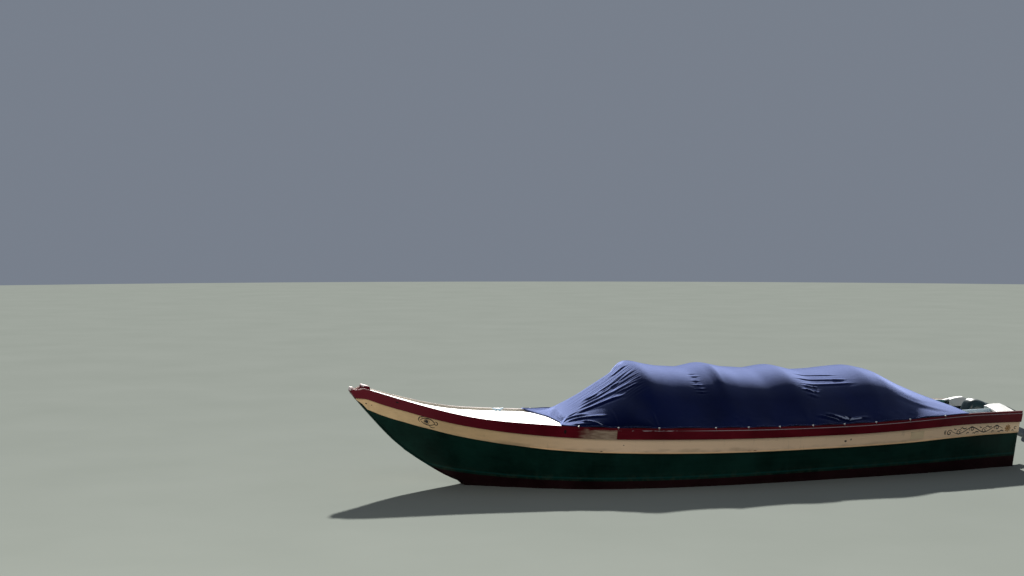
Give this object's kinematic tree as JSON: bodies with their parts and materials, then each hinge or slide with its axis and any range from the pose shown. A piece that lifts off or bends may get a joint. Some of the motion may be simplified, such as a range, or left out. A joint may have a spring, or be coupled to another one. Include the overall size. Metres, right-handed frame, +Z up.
{
  "type": "flat-bottomed wooden work boat",
  "caption": "Flat-bottomed wooden boat with a raised bow, transom stern, decked ends, a cloth cover over hoops and a tilted-up outboard motor.",
  "frame": {"origin": "underside of the flat bottom, amidships on the centreline", "axes": "+X towards the bow, +Y to port, +Z up"},
  "size_m": [7.6962, 1.866, 1.342],
  "materials": {
    "green_paint": "gloss oil paint, weathered",
    "cream_paint": "gloss oil paint",
    "maroon_paint": "gloss oil paint, chipped",
    "white_paint": "gloss oil paint",
    "teal_paint": "satin oil paint, worn",
    "bare_wood": "weathered",
    "cover_cloth": "coated canvas",
    "hoop_steel": "galvanised",
    "motor_dark": "gloss",
    "motor_grey": "satin",
    "propeller_metal": "satin",
    "plate_paint": "satin"
  },
  "bodies": {
    "root": {"bottom_planking": "green_paint", "side_planking_port": "green_paint", "side_planking_starboard": "green_paint", "sheer_strake_port": "cream_paint", "sheer_strake_starboard": "cream_paint", "rub_rail_port": "maroon_paint", "rub_rail_starboard": "maroon_paint", "stem_post": "maroon_paint", "bow_block": "maroon_paint", "transom": "green_paint", "foredeck": "white_paint", "foredeck_beam": "teal_paint", "side_deck_port": "white_paint", "side_deck_starboard": "white_paint", "coaming_port": "teal_paint", "coaming_starboard": "teal_paint", "quarter_deck_port": "white_paint", "quarter_deck_starboard": "white_paint", "frame_1": "teal_paint", "frame_2": "teal_paint", "frame_3": "teal_paint", "frame_4": "teal_paint", "frame_5": "teal_paint", "frame_6": "teal_paint", "frame_7": "teal_paint", "frame_8": "teal_paint", "floorboards": "bare_wood", "thwart_fore": "teal_paint", "thwart_middle": "teal_paint", "thwart_aft": "teal_paint", "hoop_1": "hoop_steel", "hoop_2": "hoop_steel", "hoop_3": "hoop_steel", "hoop_4": "hoop_steel", "cover": "cover_cloth", "registration_plate": "plate_paint", "motor_clamp": "motor_grey"},
    "motor_tilt_body": {"motor_swivel": "motor_grey"},
    "motor_steer_body": {"motor_leg": "motor_grey", "motor_cowl": "motor_dark", "motor_tiller": "motor_dark"},
    "propeller_body": {"propeller": "propeller_metal"}
  },
  "joints": [
    {"name": "motor_tilt", "type": "hinge", "parent": "root", "child": "motor_tilt_body", "pos_m": [-3.55, 0, 0.445], "axis": [0, 1, 0], "range_deg": [-68, 0]},
    {"name": "motor_steer", "type": "hinge", "parent": "motor_tilt_body", "child": "motor_steer_body", "pos_m": [-3.57248, 0, 0.50063], "axis": [0.9272, 0, 0.3746], "range_deg": [-35, 35]},
    {"name": "propeller_spin", "type": "hinge", "parent": "motor_steer_body", "child": "propeller_body", "pos_m": [-4.11099, 0, 0.49876], "axis": [0.3746, 0, -0.9272], "continuous": true}
  ]
}
